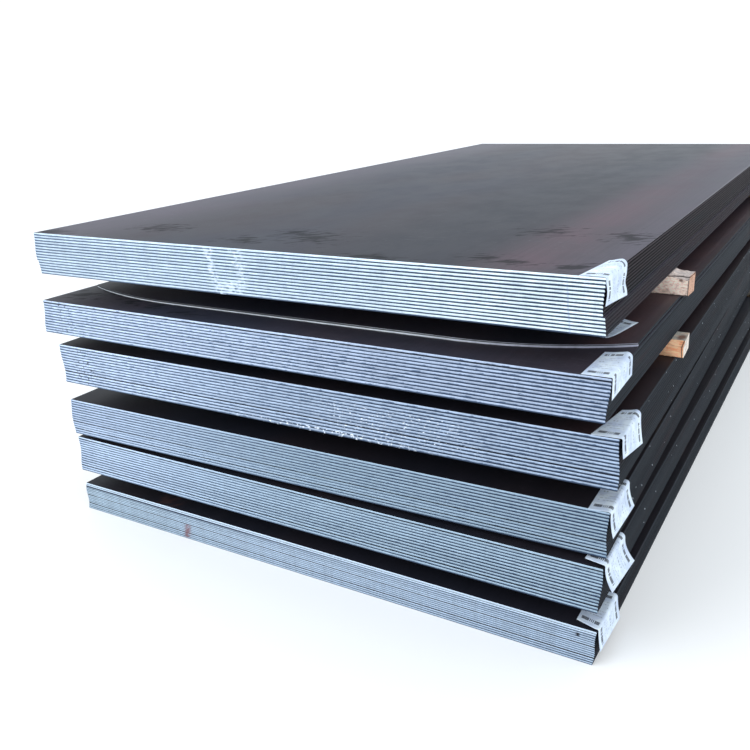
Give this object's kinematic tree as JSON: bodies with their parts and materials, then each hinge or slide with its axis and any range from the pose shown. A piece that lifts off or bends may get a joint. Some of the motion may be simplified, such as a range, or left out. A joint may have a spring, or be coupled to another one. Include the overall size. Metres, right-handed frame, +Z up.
{
  "type": "steel plate stack",
  "caption": "Stack of hot rolled steel plate in packs on sawn timber bearers, with a folded paper label at each pack's corner and a loose plate with a bowed end.",
  "frame": {"origin": "on the floor, under the middle of the lowest pack's underside", "axes": "+X across the plates to the labelled side, +Y along the plates away from their labelled front ends, +Z up"},
  "size_m": [1.3237, 2.5547, 0.6802],
  "materials": {
    "plate_steel": "blue-grey mill scale on the faces, bright sheared ends",
    "bearer_timber": "rough sawn, weathered",
    "label_paper": "matt printed paper"
  },
  "bodies": {
    "root": {"plate_pack_1": "plate_steel", "plate_pack_2": "plate_steel", "plate_pack_3": "plate_steel", "plate_pack_4": "plate_steel", "plate_pack_5": "plate_steel", "plate_pack_6": "plate_steel", "loose_plate": "plate_steel", "bearer_1_front": "bearer_timber", "bearer_1_back": "bearer_timber", "bearer_2_front": "bearer_timber", "bearer_2_back": "bearer_timber", "bearer_3_front": "bearer_timber", "bearer_3_back": "bearer_timber", "bearer_4_front": "bearer_timber", "bearer_4_back": "bearer_timber", "bearer_5_front": "bearer_timber", "bearer_5_back": "bearer_timber", "label_1": "label_paper", "label_2": "label_paper", "label_3": "label_paper", "label_4": "label_paper", "label_5": "label_paper", "label_6": "label_paper", "loose_label": "label_paper"}
  },
  "joints": []
}
